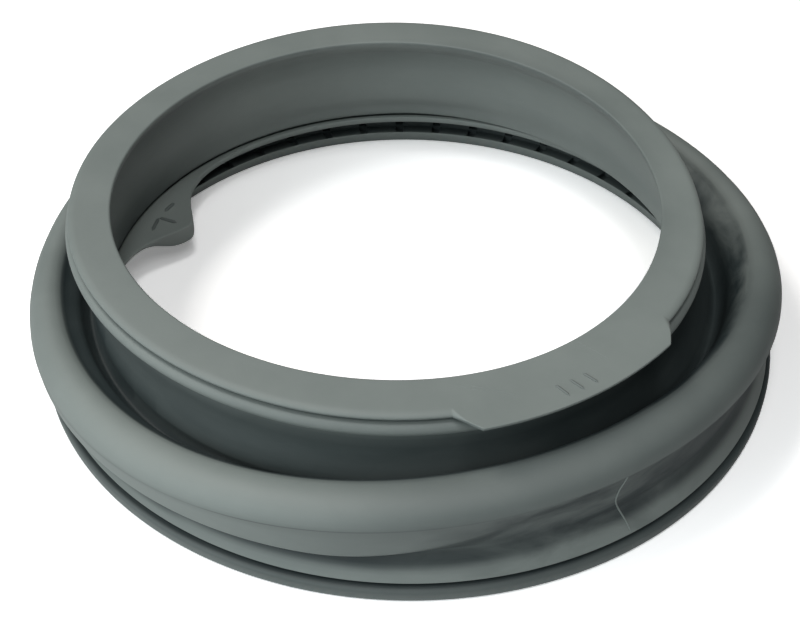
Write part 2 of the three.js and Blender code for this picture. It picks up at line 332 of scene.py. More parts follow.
# Bulge's lower wall: pale outside the channel where it swells, with painted shade close to the channel;
# where it is drawn in, painted shade in the crease, darkest high up on the right
SWELL_OUT = (1.0, 6.0)
DRAWN_PAINTED_SHADE = 0.28
DRAWN_DEEP_SHADE = {"change": -0.25, "from": 290.0, "fade": (5.0, 26.0), "rise": (1.0, 9.0)}

# Lip: painted shade on the lug's hanging skirt, which is darker than its top
LIP_SIDE = {"change": -0.3, "drop": (1.5, 3.0)}

# Mottling, by stretch: faint all over, strong on the front right and on the valley's right flank
FAINT_SMUDGE = 0.12
SMUDGE_END = {"share": 0.8, "from": 300.0, "fade": 20.0}
SMUDGE_FLANK = 6.0


def sin_deg(degrees):
    return np.sin(np.radians(degrees))


def cos_deg(degrees):
    return np.cos(np.radians(degrees))


def turn(start, end):
    """Shortest signed turn from one azimuth to another."""
    return (end - start + TURN / 2) % TURN - TURN / 2


def smooth(value, low, high):
    share = np.clip((value - low) / (high - low), 0, 1)
    return share * share * (3 - 2 * share)


def around(wave, azimuth):
    """A size that varies round the ring."""
    mean, lean, lean_at, oval, oval_at, trefoil, trefoil_at = wave
    size = mean + lean * cos_deg(azimuth - lean_at)
    size += oval * cos_deg(2 * (azimuth - oval_at))
    return size + trefoil * cos_deg(3 * (azimuth - trefoil_at))


def span(azimuth, start, end, fade):
    """1 inside a span of azimuths, with a smooth fade at both ends."""
    return smooth(turn(start, azimuth), 0, fade) * smooth(turn(azimuth, end), 0, fade)


class Section:
    """The ring's closed section at many azimuths at once: rows of radius, height and offset share."""

    def __init__(self, azimuth):
        self.azimuth = azimuth
        self.places = []
        self.cuts = []
        self.steps = []
        self.names = []

    def row(self, r, z, share=0.0):
        count = len(self.azimuth)
        return np.array([np.broadcast_to(np.asarray(v, float), count) for v in (r, z, share)])

    def corner(self, name, r, z, share=0.0, cut=0.0, steps=1):
        """A corner that is cut back by a length and rounded with a few stations."""
        self.places.append(self.row(r, z, share))
        self.cuts.append(cut)
        self.steps.append(steps)
        self.names.append(name)

    def run(self, name, knots, steps, skip_ends=False):
        """A smooth curve through knots, each of them a row."""
        points = spline(np.array(knots), steps)
        for point in points[1:-1] if skip_ends else points:
            self.places.append(point)
            self.cuts.append(0.0)
            self.steps.append(1)
            self.names.append(name)

    def stations(self):
        """All stations, and the name of the stretch that each belongs to."""
        found = []
        names = []
        count = len(self.places)
        for i, place in enumerate(self.places):
            if self.steps[i] == 1:
                found.append(place)
                names.append(self.names[i])
                continue
            before = self.places[i - 1] - place
            after = self.places[(i + 1) % count] - place
            sides = [side * self.cut_share(side, self.cuts[i]) for side in (before, after)]
            for s in np.linspace(0, 1, self.steps[i]):
                found.append(place + (1 - s) ** 2 * sides[0] + s ** 2 * sides[1])
                names.append(self.names[i])
        return np.array(found), names

    @staticmethod
    def cut_share(side, cut):
        length = np.maximum(np.hypot(side[0], side[1]), 1e-6)
        return np.minimum(cut / length, MOST_CUT)


def spline(knots, steps):
    """Points of a smooth curve through the knots, for every azimuth at once."""
    chord = np.maximum(np.hypot(*np.moveaxis(np.diff(knots[:, :2], axis=0), 1, 0)), 1e-6)[:, None]
    slope = np.diff(knots, axis=0) / chord
    tangent = np.empty_like(knots)
    tangent[0] = slope[0]
    tangent[-1] = slope[-1]
    tangent[1:-1] = (slope[:-1] * chord[1:] + slope[1:] * chord[:-1]) / (chord[:-1] + chord[1:])
    points = []
    for i in range(len(slope)):
        for s in np.linspace(0, 1, steps, endpoint=False):
            rise = 3 * s ** 2 - 2 * s ** 3
            point = knots[i] * (1 - rise) + knots[i + 1] * rise
            point = point + chord[i] * tangent[i] * (s ** 3 - 2 * s ** 2 + s)
            points.append(point + chord[i] * tangent[i + 1] * (s ** 3 - s ** 2))
    points.append(knots[-1])
    return points


def tab_proud(azimuth, rim):
    """How far the tab's edge stands out of the flange's rim."""
    rise = np.clip(turn(TAB_START, azimuth) / (TAB_RISE_END - TAB_START), 0, 1)
    fall = np.clip(turn(azimuth, TAB_END) / (TAB_END - TAB_FALL_START), 0, 1)
    return (TAB_RADIUS - rim) * np.minimum(rise, fall)


def lug_proud(azimuth):
    """How far the lug's edge stands in from the lip."""
    away = turn(LUG_AZIMUTH, azimuth)
    spread = np.where(away < 0, *LUG_SPREADS)
    power = np.where(away < 0, *LUG_POWERS)
    return LUG_REACH * np.exp(-np.power(np.abs(away) / spread, power))


def lug_skirt(azimuth):
    """How far the skirt along the lug's edge hangs down."""
    away = np.abs(turn(LUG_SKIRT["azimuth"], azimuth)) / LUG_SKIRT["spread"]
    return LUG_SKIRT["depth"] * np.exp(-np.power(away, LUG_SKIRT["power"]))


def tuck_share(azimuth):
    """1 where the bulge's lower wall is drawn in to a crease, 0 where it swells."""
    return 1 - smooth(np.abs(turn(TUCK_AZIMUTH, azimuth)), *TUCK_SPAN)


def fold_foot(azimuth):
    """Radius of the neck's foot on the inside, which leans in on the right."""
    return FOLD_FOOT_RADIUS - FOLD_LEAN * np.maximum(0, cos_deg(azimuth)) ** FOLD_LEAN_POWER


def soft_least(a, b, blend=1.5):
    """The smaller of two sizes, with a rounded change-over."""
    return (a + b - np.sqrt((a - b) ** 2 + blend ** 2)) / 2


def flange_rim(azimuth):
    """Outer radius of the flange, which is a little flat where the tab stands on it."""
    away = turn(FLANGE_FLAT["azimuth"], azimuth) / FLANGE_FLAT["spread"]
    return around(FLANGE_OUTER_RADIUS, azimuth) - FLANGE_FLAT["depth"] * np.exp(-away * away)


def neck_share(z):
    """How much of the flange's offset the neck has at a height."""
    along = (z - NECK_FOOT) / (BEAD_HEIGHT - NECK_FOOT)
    return min(1.0, NECK_FOOT_OFFSET + (1 - NECK_FOOT_OFFSET) * along)


def neck_radius(azimuth, z):
    top = flange_rim(azimuth) - NECK_INSET
    down = (NECK_TOP - z) / (NECK_TOP - NECK_FOOT)
    return top + (NECK_FOOT_RADIUS - top) * down * down


def base_outside(section):
    """Base ring, the gap above it and the skirt, which flares out over the gap."""
    section.corner("foot", BASE_FOOT_RADIUS, 0, cut=FINE_EDGE, steps=3)
    section.corner("foot", BASE_RADIUS, 0, cut=FOOT_ROUNDING, steps=4)
    section.corner("base", BASE_RADIUS, BASE_HEIGHT, cut=BASE_ROUNDING, steps=5)
    section.corner("base", GROOVE_RADIUS, BASE_HEIGHT + BASE_TOP_RISE, cut=FINE_EDGE, steps=2)
    section.corner("base", GROOVE_RADIUS, GROOVE_TOP, cut=FINE_EDGE, steps=2)
    section.corner("skirt", SKIRT_RADIUS, GROOVE_TOP + SKIRT_EDGE_RISE, cut=SKIRT_ROUNDING, steps=4)
    knots = [section.row(r, z) for r, z in SKIRT_RUN]
    section.run("skirt", knots, 3, skip_ends=True)


def brow_points(equator_r, equator_z):
    """Swelling lower wall: out from the channel, round the brow and up to the equator."""
    corner_r = equator_r - BROW_INSET
    corner_z = CHANNEL_TOP - BROW_DROOP
    inner = (corner_r - BROW_ROUNDING, corner_z + BROW_TILT)
    outer = (corner_r, corner_z + BROW_ROUNDING)
    points = []
    for t in (0.35, 0.7):
        r = CHANNEL_RADIUS + (inner[0] - CHANNEL_RADIUS) * t
        points.append((r, CHANNEL_TOP + (inner[1] - CHANNEL_TOP) * t))
    for t in (0.0, 0.2, 0.4, 0.6, 0.8, 1.0):
        r = (1 - t) ** 2 * inner[0] + 2 * t * (1 - t) * corner_r + t * t * outer[0]
        z = (1 - t) ** 2 * inner[1] + 2 * t * (1 - t) * corner_z + t * t * outer[1]
        points.append((r, z))
    for t in (0.33, 0.67):
        points.append((outer[0] + (equator_r - outer[0]) * t, outer[1] + (equator_z - outer[1]) * t))
    return points


def tuck_points(equator_r, equator_z):
    """Drawn-in lower wall: up the channel, then out to the crease under the equator."""
    across = equator_r - CHANNEL_RADIUS
    up = equator_z - CHANNEL_TOP
    handles_r = (CHANNEL_RADIUS, CHANNEL_RADIUS, equator_r - TUCK_OUT * across, equator_r)
    handles_z = (CHANNEL_TOP, CHANNEL_TOP + TUCK_UP * up, equator_z - TUCK_OVERHANG * up, equator_z)
    points = []
    for t in (0.1, 0.2, 0.3, 0.4, 0.5, 0.6, 0.7, 0.8, 0.88, 0.95):
        weights = ((1 - t) ** 3, 3 * t * (1 - t) ** 2, 3 * t ** 2 * (1 - t), t ** 3)
        r = sum(w * h for w, h in zip(weights, handles_r))
        z = sum(w * h for w, h in zip(weights, handles_z))
        points.append((r, z))
    return points


def lower_wall(azimuth):
    """Lower wall of the bulge, from the channel to just short of the equator."""
    equator_r = around(BULGE_RADIUS, azimuth)
    equator_z = around(BULGE_HEIGHT, azimuth)
    tuck = tuck_share(azimuth)
    full = brow_points(equator_r, equator_z)
    drawn = tuck_points(equator_r, equator_z)
    return [
        (a[0] + (b[0] - a[0]) * tuck, a[1] + (b[1] - a[1]) * tuck)
        for a, b in zip(full, drawn)
    ]


def crest_point(azimuth, angle):
    """A point of the bulge's arched top, by angle from its outermost line."""
    half = around(CREST_HALF_WIDTH, azimuth)
    r = around(BULGE_RADIUS, azimuth) - half * (1 - math.cos(math.radians(angle)))
    z = around(BULGE_HEIGHT, azimuth) + around(CREST_RISE, azimuth) * math.sin(math.radians(angle))
    return r, z


def flank_knots(section):
    """The bulge's inner flank, the valley and the neck's foot, as knots of one curve."""
    azimuth = section.azimuth
    half = VALLEY_HALF_WIDTH
    bottom = around(VALLEY_HEIGHT, azimuth)
    brink_r, brink_z = crest_point(azimuth, CREST_BRINK)
    valley_centre = VALLEY_RADIUS + FOLD_OFFSET * FLANGE_OFFSET[0] * cos_deg(azimuth)
    return [
        section.row(brink_r, brink_z),
        section.row((brink_r + valley_centre) / 2, (brink_z + bottom + half) / 2),
        section.row(VALLEY_RADIUS + half, bottom + VALLEY_RISE, FOLD_OFFSET),
        section.row(VALLEY_RADIUS, bottom, FOLD_OFFSET),
        section.row(VALLEY_RADIUS - half, bottom + half, FOLD_OFFSET),
    ]


def neck_knots(section):
    levels = (NECK_FOOT, (NECK_TOP + NECK_FOOT) / 2, NECK_TOP)
    return [section.row(neck_radius(section.azimuth, z), z, neck_share(z)) for z in levels]


def bellows_outside(section):
    """Lower wall, parting line, arched top, inner flank, valley and the neck up to the bead."""
    azimuth = section.azimuth
    section.corner("channel", CHANNEL_RADIUS, CHANNEL_TOP, cut=CHANNEL_ROUNDING, steps=3)
    walls = lower_wall(azimuth)
    for r, z in walls:
        section.corner("tuck", r, z)
    equator = section.row(*crest_point(azimuth, 0))
    under = section.row(*walls[-1]) - equator
    below = equator + under * section.cut_share(under, SEAM_MARGIN)
    section.corner("tuck", below[0], below[1])
    section.corner("seam", equator[0] + SEAM_PROUD, equator[1])
    section.corner("bulge", *crest_point(azimuth, SEAM_ANGLE))
    for angle in range(CREST_STEP, CREST_END + 1, CREST_STEP):
        section.corner("bulge", *crest_point(azimuth, angle))
    knots = [section.row(*crest_point(azimuth, CREST_END))] + flank_knots(section) + neck_knots(section)
    section.run("valley", knots, 3, skip_ends=True)


def bead(section):
    """The bead round the neck's top, and the groove between it and the flange."""
    azimuth = section.azimuth
    rim = flange_rim(azimuth)
    section.corner("neck", neck_radius(azimuth, NECK_TOP), NECK_TOP, neck_share(NECK_TOP), NECK_ROUNDING, 4)
    for angle in range(-75, 76, 25):
        r = rim + BEAD_PROUD - BEAD_HALF_HEIGHT * (1 - math.cos(math.radians(angle)))
        section.corner("bead", r, BEAD_HEIGHT + BEAD_HALF_HEIGHT * math.sin(math.radians(angle)), 1)
    groove = FLANGE_HEIGHT - FLANGE_ROOT
    bottom = rim - BEAD_GROOVE_DEPTH
    section.corner("bead", bottom, groove - BEAD_GROOVE_ROUNDING, 1, cut=BEAD_GROOVE_ROUNDING, steps=3)
    section.corner("bead", bottom, groove, 1, cut=FINE_EDGE, steps=2)


def flange(section):
    """The flange's rounded edge, which is thin and sharp along the pull tab, and its flat face."""
    azimuth = section.azimuth
    rim = flange_rim(azimuth)
    proud = tab_proud(azimuth, rim)
    on_tab = smooth(proud, 0.0, TAB_BLEND)
    edge = rim + proud
    thickness = FLANGE_THICKNESS + (TAB_THICKNESS - FLANGE_THICKNESS) * on_tab
    margin = FLANGE_MARGIN + (TAB_CORNER - FLANGE_MARGIN) * on_tab
    height = EDGE_LEVEL * thickness + (TAB_CORNER - EDGE_LEVEL * thickness) * on_tab
    underside = FLANGE_HEIGHT - thickness
    section.corner("flange", edge - FLANGE_UNDERCUT, underside, 1, cut=FLANGE_UNDERCUT_ROUNDING, steps=2)
    for angle in range(0, 91, 15):
        r = edge - margin * (1 - math.cos(math.radians(angle)))
        z = FLANGE_HEIGHT - height * (1 - math.sin(math.radians(angle)))
        section.corner("flange", r, z, 1)
    mouth = around(FLANGE_INNER_RADIUS, azimuth)
    start = rim - FLANGE_MARGIN
    for share in (0.2, 0.6):
        section.corner("flange", start + (mouth + FLANGE_FACE_MARGIN - start) * share, FLANGE_HEIGHT, 1)
    section.corner("flange", mouth, FLANGE_HEIGHT, 1, cut=FLANGE_MOUTH_ROUNDING, steps=4)


def neck_inside(section):
    """Inner face of the flange's mouth and the neck, down to the fold behind the lip."""
    azimuth = section.azimuth
    mouth = around(FLANGE_INNER_RADIUS, azimuth)
    shoulder = FLANGE_HEIGHT - SHOULDER_DROP
    knots = [
        section.row(mouth + MOUTH_FLARE, FLANGE_HEIGHT - MOUTH_HEIGHT, 1),
        section.row(mouth + SHOULDER_SET, shoulder, neck_share(shoulder)),
    ]
    foot = fold_foot(azimuth)
    wall_gap, middle_gap, toe_gap = FOLD_WALL_GAPS
    for drop, thickness in NECK_WALLS:
        z = NECK_TOP - drop
        share = neck_share(z)
        lean = share * FLANGE_OFFSET[0] * cos_deg(azimuth)
        r = neck_radius(azimuth, z) - thickness
        knots.append(section.row(soft_least(r, foot + wall_gap - lean), z, share))
    lowest = NECK_TOP - NECK_WALLS[-1][0]
    knots.append(section.row(foot + middle_gap, (lowest + FOLD_FOOT_HEIGHT) / 2))
    knots.append(section.row(foot + toe_gap, FOLD_FOOT_HEIGHT + FOLD_TOE_RISE))
    section.run("inside", knots, 3)
    section.corner("inside", foot, FOLD_FOOT_HEIGHT, cut=FOLD_ROUNDING, steps=3)


def bellows_inside(section):
    """Hollow side of the bellows: the outer curve moved through the wall, along the section's normal."""
    azimuth = section.azimuth
    outside = [section.row(CHANNEL_RADIUS, CHANNEL_TOP)]
    walls = lower_wall(azimuth)
    outside += [section.row(*walls[i]) for i in HOLLOW_STEPS]
    outside += [section.row(*crest_point(azimuth, angle)) for angle in (0, 30, 60, 90, 120)]
    outside += flank_knots(section)[:-1]
    for i in range(len(outside) - 1, 0, -1):
        before = outside[i - 1]
        here = outside[i]
        after = outside[min(i + 1, len(outside) - 1)]
        along = after[:2] - before[:2]
        along = along / np.hypot(*along)
        section.corner("hollow", here[0] - along[1] * WALL, here[1] + along[0] * WALL, here[2])


def lip_and_lug(section):
    """Shelf behind the lip, the lip's top, the lug's reach inwards and the underside of both."""
    azimuth = section.azimuth
    inner = LIP_RADIUS - lug_proud(azimuth)
    body = span(azimuth, *LUG_BODY)
    underside = RECESS_CEILING + (LIP_TOP - LUG_THICKNESS - RECESS_CEILING) * body
    edge_foot = underside - lug_skirt(azimuth)
    step = LIP_RADIUS + LIP_WIDTH
    section.corner("shelf", CHANNEL_RADIUS - THROAT_WALL, SHELF_TOP, cut=SHELF_ROUNDING, steps=2)
    section.corner("shelf", step + SHELF_END, SHELF_TOP, cut=FINE_EDGE, steps=2)
    section.corner("lip", step, LIP_TOP, cut=LIP_STEP_ROUNDING, steps=3)
    start = step - LIP_FACE_MARGINS[0]
    end = inner + LIP_FACE_MARGINS[1]
    for share in (0.2, 0.4, 0.6, 0.8):
        section.corner("lip", start + (end - start) * share, LIP_TOP)
    section.corner("lip", inner, LIP_TOP, cut=LIP_EDGE_ROUNDING, steps=4)
    section.corner("lip", inner, edge_foot, cut=LUG_SKIRT_ROUNDING, steps=4)
    behind = inner + LUG_SKIRT["wall"]
    section.corner("under", behind, edge_foot, cut=FINE_EDGE, steps=2)
    section.corner("under", behind + LUG_SKIRT["slope"], underside, cut=FINE_EDGE, steps=2)


def recess(section, slots):
    """Back wall of the recess; slots is 1 on the columns that lie in a slot."""
    section.corner("recess", RECESS_RADIUS, RECESS_CEILING, cut=RECESS_EDGE, steps=2)
    top = RECESS_CEILING - SLOT_END
    bottom = RECESS_FLOOR + SLOT_END
    deep = RECESS_RADIUS + SLOT_DEPTH * slots
    section.corner("recess", RECESS_RADIUS, top + SLOT_END_SLOPE)
    for share in (1, 0.66, 0.33, 0):
        section.corner("recess", deep, bottom + (top - bottom) * share)
    section.corner("recess", RECESS_RADIUS, bottom - SLOT_END_SLOPE)
    notch = RECESS_FLOOR - NOTCH_DEPTH * slots
    start = RECESS_RADIUS - NOTCH_EDGE
    for share in (0, 0.5, 1):
        section.corner("recess", start + (NOTCH_END - start) * share, notch)


def base_mouth(section):
    section.corner("mouth", BASE_MOUTH_RADIUS, RECESS_FLOOR, cut=MOUTH_ROUNDING, steps=4)
    section.corner("mouth", (BASE_MOUTH_RADIUS + BASE_FOOT_RADIUS) / 2, RECESS_FLOOR / 2)


def whole_section(azimuth, slots):
    section = Section(azimuth)
    base_outside(section)
    bellows_outside(section)
    bead(section)
    flange(section)
    neck_inside(section)
    bellows_inside(section)
    lip_and_lug(section)
    recess(section, slots)
    base_mouth(section)
    return section.stations()


def even_columns():
    """Azimuths of the skin's columns, with three close together at each sharp turn of the outline."""
    count = SLOT_COUNT * PITCH_COLUMNS
    azimuth = FIRST_SLOT + TURN * np.arange(count) / count
    for key in (TAB_START, TAB_RISE_END, TAB_FALL_START, TAB_END):
        nearest = int(np.argmin(np.abs(turn(azimuth, key))))
        for step in (-1, 0, 1):
            azimuth[nearest + step] = key + CROWDED_STEP * step
    return azimuth


def slot_columns():
    """Azimuths of the recess's columns, which follow the slots, and which of them lie in a slot."""
    pitch = TURN / SLOT_COUNT
    side = math.degrees(SLOT_WIDTH / 2 / RECESS_RADIUS)
    past = side + math.degrees(SLOT_EDGE / RECESS_RADIUS)
    between = np.linspace(past, pitch - past, PITCH_COLUMNS - 3)
    offsets = np.concatenate([[0, side], between, [pitch - side]])
    azimuth = (FIRST_SLOT + pitch * np.arange(SLOT_COUNT)[:, None] + offsets).ravel()
    inside = np.ones(PITCH_COLUMNS)
    inside[2:-1] = 0
    return azimuth, np.tile(inside, SLOT_COUNT)


def place(rows, azimuth):
    """Puts section rows in space. The flange's offset and tilt come in over the neck's height."""
    r, z, share = rows[..., 0, :], rows[..., 1, :], rows[..., 2, :]
    x = r * cos_deg(azimuth)
    y = r * sin_deg(azimuth)
    tilt = np.maximum(0, (share - FOLD_OFFSET) / (1 - FOLD_OFFSET))
    z = z + tilt * (FLANGE_TILT[0] * x + FLANGE_TILT[1] * y)
    x = x + share * FLANGE_OFFSET[0]
    y = y + share * FLANGE_OFFSET[1]
    return np.stack([x, y, z], axis=-1) * MM + np.array(seal_axis)


def skin_table():
    """Place of every vertex of the skin, by station and column, and each station's stretch."""
    even = even_columns()
    slotted, slots = slot_columns()
    rows, names = whole_section(even, np.zeros(len(even)))
    slot_rows, _ = whole_section(slotted, slots)
    table = place(rows, even)
    slot_table = place(slot_rows, slotted)
    for i, name in enumerate(names):
        if name == "recess":
            table[i] = slot_table[i]
    return table, names


def seal_skin():
    """The ring: a sheet is closed along the section and round the axis, each vertex at its own place."""
    table, names = skin_table()
    stations, columns = table.shape[:2]
    closed = np.concatenate([table, table[:1]])
    closed = np.concatenate([closed, closed[:, :1]], axis=1)
    bm = bmesh.new()
    bmesh.ops.create_grid(bm, x_segments=stations, y_segments=columns, size=1)
    # Each vertex carries its paleness with painted light and shade, and how mottled it is
    bloom_and_shade_layer = bm.verts.layers.float.new("bloom_and_shade")
    mottle = bm.verts.layers.float.new("smudge")
    bloom_and_shade = bloom_and_shade_table(names, table)
    smudge = smudge_table(names, table)
    for vert in bm.verts:
        station = round((vert.co.x + 1) / 2 * stations)
        column = round((vert.co.y + 1) / 2 * columns)
        vert.co = closed[station, column]
        vert[bloom_and_shade_layer] = bloom_and_shade[station % stations, column % columns]
        vert[mottle] = smudge[station % stations, column % columns]
    for path, radius, paleness in raised_lines(table, names):
        add_thread(bm, path, radius, paleness)
    bmesh.ops.remove_doubles(bm, verts=bm.verts, dist=WELD_DISTANCE)
    bmesh.ops.recalc_face_normals(bm, faces=bm.faces)
    for face in bm.faces:
        face.smooth = True
    for edge in bm.edges:
        edge.smooth = edge.calc_face_angle(0) < math.radians(SHARP_ANGLE)
    return mesh_object("door_seal_skin", bm)


def add_thread(bm, path, radius, paleness):
    """A thin raised line: a sheet is rolled into a tube round a path in the skin, pointed at both ends."""
    path = np.array(path)
    along = np.gradient(path, axis=0)
    along /= np.linalg.norm(along, axis=1)[:, None]
    middle = path[len(path) // 2]
    side = np.cross(along, middle / np.linalg.norm(middle))
    side /= np.linalg.norm(side, axis=1)[:, None]
    up = np.cross(side, along)
    thickness = np.full(len(path), radius)
    thickness[[0, -1]] = 0
    bloom_and_shade = bm.verts.layers.float["bloom_and_shade"]
    steps = len(path) - 1
    made = bmesh.ops.create_grid(bm, x_segments=steps, y_segments=THREAD_SIDES, size=1)
    for vert in made["verts"]:
        i = round((vert.co.x + 1) / 2 * steps)
        angle = math.pi * (vert.co.y + 1)
        offset = side[i] * math.cos(angle) + up[i] * math.sin(angle)
        vert.co = Vector((path[i] + offset * thickness[i]) * MM) + seal_axis
        vert[bloom_and_shade] = paleness


def fine_path(points, steps):
    """Points along a smooth line through a few given ones."""
    knots = np.array(points, float)[..., None]
    return np.array(spline(knots, steps))[..., 0]


def polar(radius, azimuth, height):
    return (radius * cos_deg(azimuth), radius * sin_deg(azimuth), height)


def on_flange(radius, azimuth):
    """A point of the flange's face, by radius and azimuth about its own axis."""
    x, y, z = polar(radius, azimuth, FLANGE_HEIGHT)
    z += FLANGE_TILT[0] * x + FLANGE_TILT[1] * y
    return x + FLANGE_OFFSET[0], y + FLANGE_OFFSET[1], z


def raised_lines(table, names):
    """Paths of the flash lines, the strokes and the rub marks, with their radii and paleness."""
    column = int(np.argmin(np.abs(turn(even_columns(), FLASH_LINE[0][1]))))
    wall = centred_places(table[:, column])[[name in ("skirt", "channel", "tuck") for name in names]]
    wall = wall[np.argsort(wall[:, 2])]
    wall_radius = np.hypot(wall[:, 0], wall[:, 1])
    flash = fine_path(FLASH_LINE, 5)
    points = [polar(np.interp(z, wall[:, 2], wall_radius), azimuth, z) for z, azimuth in flash]
    lines = [(points, FLASH_RADIUS, FLASH_BLOOM)]

    base_side = [polar(BASE_RADIUS, azimuth, z) for z, azimuth in fine_path(BASE_FLASH, 3)]
    lines.append((base_side, BASE_FLASH_RADIUS, BASE_FLASH_BLOOM))
    for strokes in TAB_STROKES:
        ends = [on_flange(r, azimuth) for r, azimuth in zip(TAB_STROKE_ENDS, strokes)]
        lines.append((fine_path(ends, 6), TAB_STROKE_RADIUS, TAB_STROKE_BLOOM))
    for mark in RUB_MARKS:
        ends = [on_flange(*end) for end in mark]
        lines.append((fine_path(ends, 12), RUB_MARK_RADIUS, RUB_MARK_BLOOM))
    for start, end in LUG_STROKES:
        ends = [start + (LIP_TOP,), end + (LIP_TOP,)]
        lines.append((fine_path(ends, 6), LUG_STROKE_RADIUS, LUG_STROKE_PAINTED_SHADE))
    return lines


def span_painted_light(name, azimuth, bloom_and_shade=PLAIN_BLOOM):
    """Painted light and shade: paler or darker over a few spans of azimuths."""
    for start, end, fade, change in PAINTED_LIGHT_SPANS[name]:
        bloom_and_shade = bloom_and_shade + change * span(azimuth, start, end, fade)
    return bloom_and_shade


def towards(side, azimuth):
    """1 on the side of the ring that a painted change of tone faces, 0 away from it."""
    return smooth(cos_deg(azimuth - side["azimuth"]), *side["reach"])


def bulge_painted_light(radius, azimuth, height):
    return span_painted_light("bulge", azimuth)


def channel_painted_shade(radius, azimuth, height):
    return span_painted_light("channel", azimuth, BLOOM_AND_SHADE["channel"])


def flange_tone_and_shade(radius, azimuth, height):
    x, y, _ = polar(radius, azimuth, height)
    from_flange_axis = np.hypot(x - FLANGE_OFFSET[0], y - FLANGE_OFFSET[1])
    inside_edge = around(FLANGE_INNER_RADIUS, azimuth) + FACE_EDGE["width"] - from_flange_axis
    edge = smooth(inside_edge, 0.0, FACE_EDGE["fade"]) * towards(FACE_EDGE, azimuth)
    lean = FACE_LEAN["change"] * cos_deg(azimuth - FACE_LEAN["azimuth"])
    return BLOOM_AND_SHADE["flange"] + lean + FACE_EDGE["change"] * edge


def inside_light_and_shade(radius, azimuth, height):
    foot, top = INSIDE_BELT["foot"], INSIDE_BELT["top"]
    belt = smooth(height, *foot) * (1 - smooth(height, *top))
    left = INSIDE_LEFT["change"] * towards(INSIDE_LEFT, azimuth)
    return PLAIN_BLOOM + INSIDE_BELT["change"] * belt + left


def valley_painted_shade(radius, azimuth, height):
    low, high = (VALLEY_RADIUS + out for out in FLANK_RIGHT["out"])
    right = np.maximum(0, cos_deg(azimuth - FLANK_RIGHT["azimuth"]))
    flank = FLANK_PAINTED_SHADE + FLANK_RIGHT["change"] * right * smooth(radius, low, high)
    neck = VALLEY_PAINTED_SHADE + VALLEY_LEFT["change"] * towards(VALLEY_LEFT, azimuth)
    return np.where(radius > VALLEY_RADIUS, flank, neck)


def base_tone_and_shadow(radius, azimuth, height):
    low, high = (BASE_RADIUS - inwards for inwards in BASE_SIDE["in"])
    right = smooth(turn(BASE_SIDE["from"], azimuth), 0.0, BASE_SIDE["fade"])
    return (BASE_SIDE["bloom_and_shade"] + BASE_SIDE["change"] * right) * smooth(radius, low, high)


def skirt_light_and_shadow(radius, azimuth, height):
    tucked = tuck_share(azimuth)
    dip = smooth(turn(azimuth, BAND_DIP["before"]), 0.0, BAND_DIP["fade"])
    band_foot = BAND_FOOT - BAND_DIP["drop"] * dip
    fade = BAND_FADE + BAND_FADE_TUCKED * tucked
    band_light = BAND_PAINTED_LIGHT + (BAND_PAINTED_LIGHT_TUCKED - BAND_PAINTED_LIGHT) * tucked
    band = band_light * smooth(band_foot - height, -fade, BAND_FULL)
    past = smooth(turn(SKIRT_TUCK["until"], azimuth), 0.0, SKIRT_TUCK["fade"])
    return SKIRT_PAINTED_SHADOW + SKIRT_TUCK["change"] * tucked * (1 - past) + band


def tuck_tone_and_shade(radius, azimuth, height):
    low, high = (CHANNEL_RADIUS + out for out in SWELL_OUT)
    swelling = span_painted_light("brow", azimuth) * smooth(radius, low, high)
    right = smooth(turn(DRAWN_DEEP_SHADE["from"], azimuth), *DRAWN_DEEP_SHADE["fade"])
    high_up = smooth(height - CHANNEL_TOP, *DRAWN_DEEP_SHADE["rise"])
    drawn = DRAWN_PAINTED_SHADE + DRAWN_DEEP_SHADE["change"] * right * high_up
    return swelling + (drawn - swelling) * tuck_share(azimuth)


def lip_painted_shade(radius, azimuth, height):
    return BLOOM_AND_SHADE["lip"] + LIP_SIDE["change"] * smooth(LIP_TOP - height, *LIP_SIDE["drop"])


# Paleness with painted light and shade of the stretches where it varies, by radius, azimuth and height
VARIED_BLOOM_AND_SHADE = {
    "bulge": bulge_painted_light,
    "channel": channel_painted_shade,
    "flange": flange_tone_and_shade,
    "inside": inside_light_and_shade,
    "valley": valley_painted_shade,
    "base": base_tone_and_shadow,
    "skirt": skirt_light_and_shadow,
    "tuck": tuck_tone_and_shade,
    "lip": lip_painted_shade,
}


def bloom_and_shade_table(names, table):
    """How pale the rubber's skin is, from 0 for painted shade and dark rubber to 1 for the palest tone,
    with painted light.
    """
    radius, azimuth, height = polar_places(table)
    bloom_and_shade = np.ones(table.shape[:2])
    for i, name in enumerate(names):
        if name in VARIED_BLOOM_AND_SHADE:
            bloom_and_shade[i] = VARIED_BLOOM_AND_SHADE[name](radius[i], azimuth[i], height[i])
        else:
            bloom_and_shade[i] = BLOOM_AND_SHADE.get(name, PLAIN_BLOOM)
    bloom_and_shade = (np.roll(bloom_and_shade, 1, axis=0) + 2 * bloom_and_shade + np.roll(bloom_and_shade, -1, axis=0)) / 4
    # Painted shade on the parting line: darker on the front, as the shading line of its small ridge
    for i, name in enumerate(names):
        if name == "seam":
            bloom_and_shade[i] = np.minimum(bloom_and_shade[i], span_painted_light("parting line", azimuth[i]))
    return bloom_and_shade


